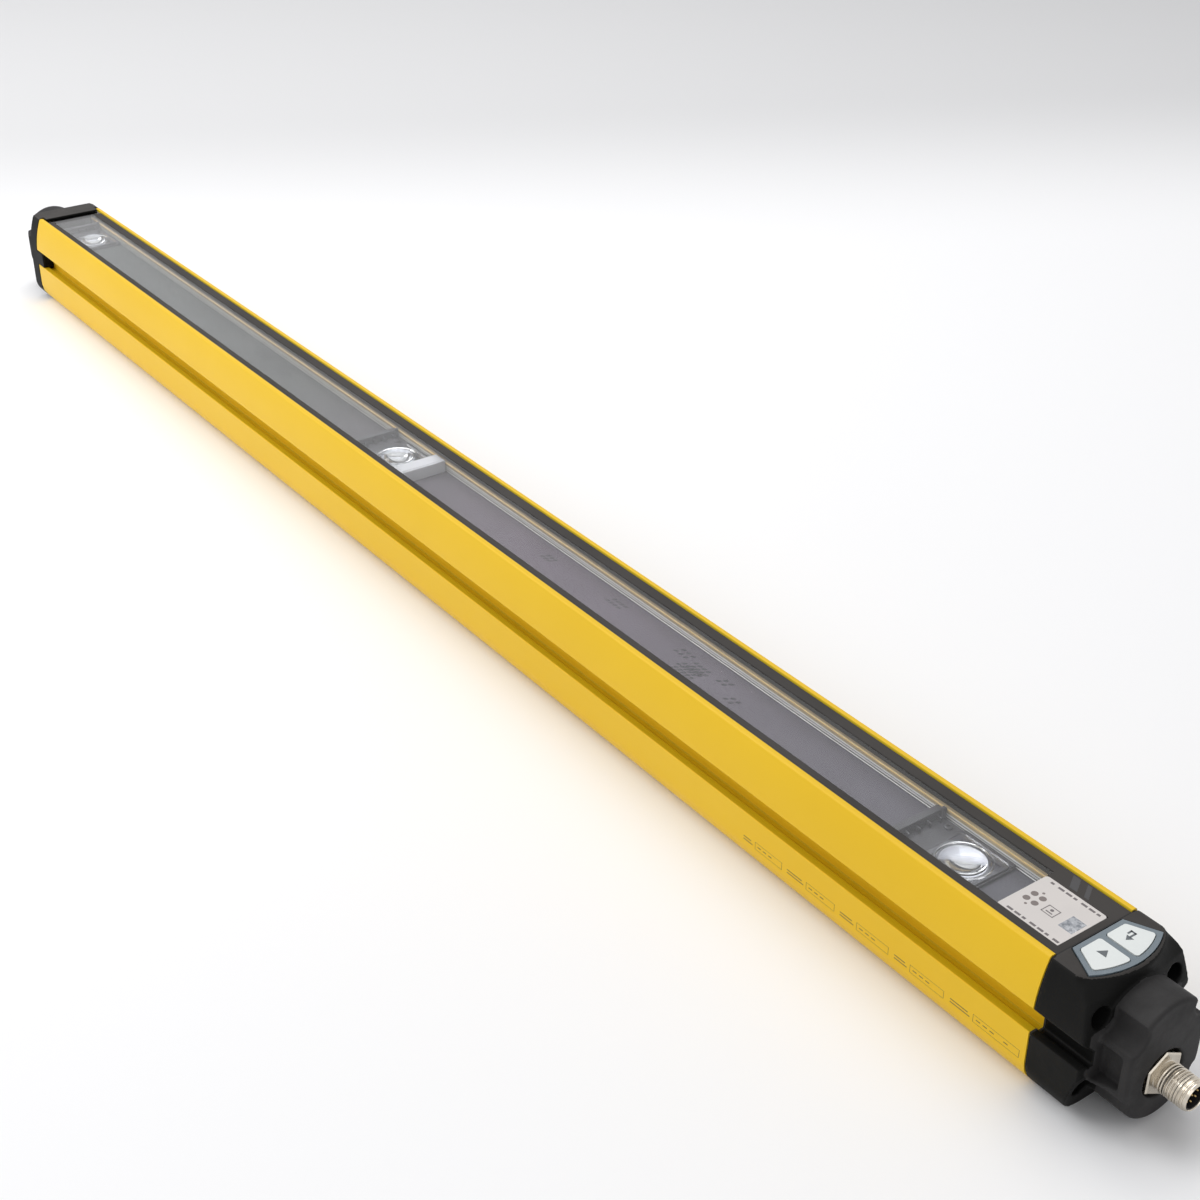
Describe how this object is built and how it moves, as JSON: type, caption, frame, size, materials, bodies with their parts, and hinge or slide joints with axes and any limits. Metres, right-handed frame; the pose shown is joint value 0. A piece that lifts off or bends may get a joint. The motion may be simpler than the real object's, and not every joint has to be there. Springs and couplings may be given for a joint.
{
  "type": "safety light barrier",
  "caption": "Long rectangular light-barrier bar with a clear front window over round lenses, a keypad and a round plug at one end, and a gripping boss at each end.",
  "frame": {"origin": "middle of the footprint's box, on the plane of the housing's flat rear face", "axes": "+X along the housing towards the round plug, +Y across it, +Z out of the front window"},
  "size_m": [0.9848, 0.052, 0.0561],
  "materials": {
    "housing_paint": "yellow satin powder coat",
    "window_clear": "clear polished plate",
    "bond_dark": "matt bonding strip",
    "tray_grey": "matt painted sheet",
    "board_green": "solder mask",
    "cap_dark": "fine moulded grain",
    "seal_rubber": "matt",
    "screw_dark": "blackened steel",
    "keypad_grey": "satin foil",
    "key_pale": "satin",
    "switch_dark": "satin",
    "flex_amber": "smooth foil",
    "plug_nickel": "nickel plated",
    "insert_dark": "smooth moulding",
    "pin_gold": "gold plated",
    "wire_sleeve": "matt",
    "guide_milky": "milky",
    "display_dark": "smooth face",
    "label_pale": "coated label",
    "holder_dark": "fine moulded grain",
    "lens_clear": "clear moulded lens",
    "diode_clear": "clear resin"
  },
  "bodies": {
    "barrier": {"housing_profile": "housing_paint", "front_window": "window_clear", "window_bond_left": "bond_dark", "window_bond_right": "bond_dark", "chassis_tray": "tray_grey", "main_board": "board_green", "connector_cap": "cap_dark", "connector_cap_seal": "seal_rubber", "connector_cap_screws": "screw_dark", "keypad_frame": "keypad_grey", "key_board": "board_green", "key_switches": "switch_dark", "keypad_flex": "flex_amber", "plug_shell": "plug_nickel", "plug_insert": "insert_dark", "plug_pins": "pin_gold", "plug_seal": "seal_rubber", "plug_harness": "wire_sleeve", "far_end_cap": "cap_dark", "far_cap_seal": "seal_rubber", "far_cap_screws": "screw_dark", "light_guide": "guide_milky", "status_display": "display_dark", "window_label": "label_pale", "lens_holder_1": "holder_dark", "lens_1": "lens_clear", "diode_board_1": "board_green", "diode_1": "diode_clear", "lens_holder_2": "holder_dark", "lens_2": "lens_clear", "diode_board_2": "board_green", "diode_2": "diode_clear", "lens_holder_3": "holder_dark", "lens_3": "lens_clear", "diode_board_3": "board_green", "diode_3": "diode_clear"},
    "select_key_body": {"select_key": "key_pale"},
    "confirm_key_body": {"confirm_key": "key_pale"}
  },
  "joints": [
    {"name": "select_key_press", "type": "slide", "parent": "barrier", "child": "select_key_body", "axis": [0, 0, -1], "range_m": [0, 0.0005], "stiffness_N_per_m": 1500},
    {"name": "confirm_key_press", "type": "slide", "parent": "barrier", "child": "confirm_key_body", "axis": [0, 0, -1], "range_m": [0, 0.0005], "stiffness_N_per_m": 1500}
  ]
}
